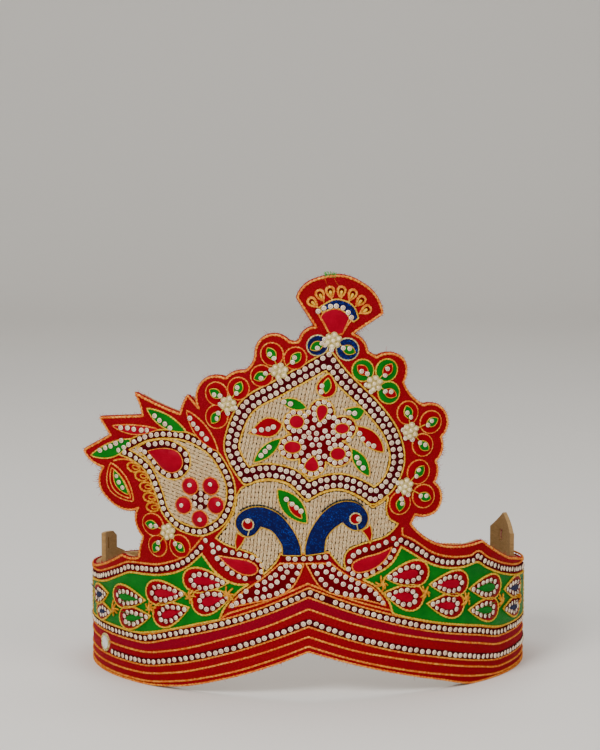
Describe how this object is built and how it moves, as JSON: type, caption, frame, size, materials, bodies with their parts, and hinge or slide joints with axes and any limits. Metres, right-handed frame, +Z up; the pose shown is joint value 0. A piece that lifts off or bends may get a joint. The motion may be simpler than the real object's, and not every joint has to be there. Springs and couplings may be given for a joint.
{
  "type": "deity crown",
  "caption": "Embroidered velvet crown for a temple deity: a curved band with a tall pointed front plate, satin applique, metal thread and rows of stones.",
  "frame": {"origin": "centre of the bounding box at the level of the lower rim that the crown stands on", "axes": "+Z up the front plate, -Y out of the crown's front, +X to the viewer's right"},
  "size_m": [0.2073, 0.1333, 0.1911],
  "materials": {
    "blue_sequin_cloth": "royal blue cloth with fine glitter",
    "green_leaf_satin": "satin leaf with gold cord edge",
    "green_satin": "satin",
    "kraft_board": "matt brown pulp board",
    "magenta_satin": "magenta satin",
    "maroon_cloth": "maroon cloth with stones",
    "mirror_drop": "small mirror",
    "pale_zari": "pale gold metal-thread embroidery",
    "red_satin": "red satin with gold cord edge",
    "red_velvet": "crimson velvet, short pile",
    "stone_channel": "rows of pearl-white flat-backed stones on maroon cloth",
    "yellow_thread": "yellow thread embroidery"
  },
  "bodies": {
    "root": {"backing_board": "kraft_board", "crest_leaf_green_high": "green_leaf_satin", "crest_leaf_green_low": "green_leaf_satin", "crest_leaf_magenta": "red_satin", "crest_leaf_red": "red_satin", "crest_petal": "red_satin", "fan_crescent": "blue_sequin_cloth", "fan_dome": "magenta_satin", "fan_petals": "yellow_thread", "flower_fan": "red_satin", "flower_lower_left": "red_satin", "flower_lower_right": "red_satin", "flower_right": "red_satin", "flower_top_left": "red_satin", "flower_upper_left": "red_satin", "flower_upper_right": "red_satin", "heart_border": "stone_channel", "heart_bud": "red_satin", "heart_field": "pale_zari", "heart_flower": "magenta_satin", "heart_leaf_green_1": "green_leaf_satin", "heart_leaf_green_2": "green_leaf_satin", "heart_leaf_green_3": "green_leaf_satin", "heart_leaf_green_4": "green_leaf_satin", "heart_leaf_red_1": "red_satin", "heart_leaf_red_2": "red_satin", "leaf_pair_left_1": "maroon_cloth", "leaf_pair_left_2": "maroon_cloth", "leaf_pair_left_3": "maroon_cloth", "leaf_pair_left_4": "maroon_cloth", "leaf_pair_right_1": "maroon_cloth", "leaf_pair_right_2": "maroon_cloth", "leaf_pair_right_3": "maroon_cloth", "leaf_pair_right_4": "maroon_cloth", "paisley_balls": "magenta_satin", "paisley_border": "stone_channel", "paisley_drop": "magenta_satin", "paisley_field": "pale_zari", "panel_border_left": "stone_channel", "panel_border_right": "stone_channel", "peacock_beak_left": "red_satin", "peacock_beak_right": "red_satin", "peacock_collar": "maroon_cloth", "peacock_field": "pale_zari", "peacock_leaf": "green_leaf_satin", "peacock_neck_left": "blue_sequin_cloth", "peacock_neck_right": "blue_sequin_cloth", "peacock_tail_left": "maroon_cloth", "peacock_tail_right": "maroon_cloth", "satin_panel_left": "green_satin", "satin_panel_right": "green_satin", "side_mirror": "mirror_drop", "stone_row_lower": "stone_channel", "stone_row_upper": "stone_channel", "tie_tab_left": "kraft_board", "tie_tab_right": "kraft_board", "velvet_facing": "red_velvet", "wing_drop_left": "magenta_satin", "wing_drop_right": "magenta_satin"}
  },
  "joints": []
}
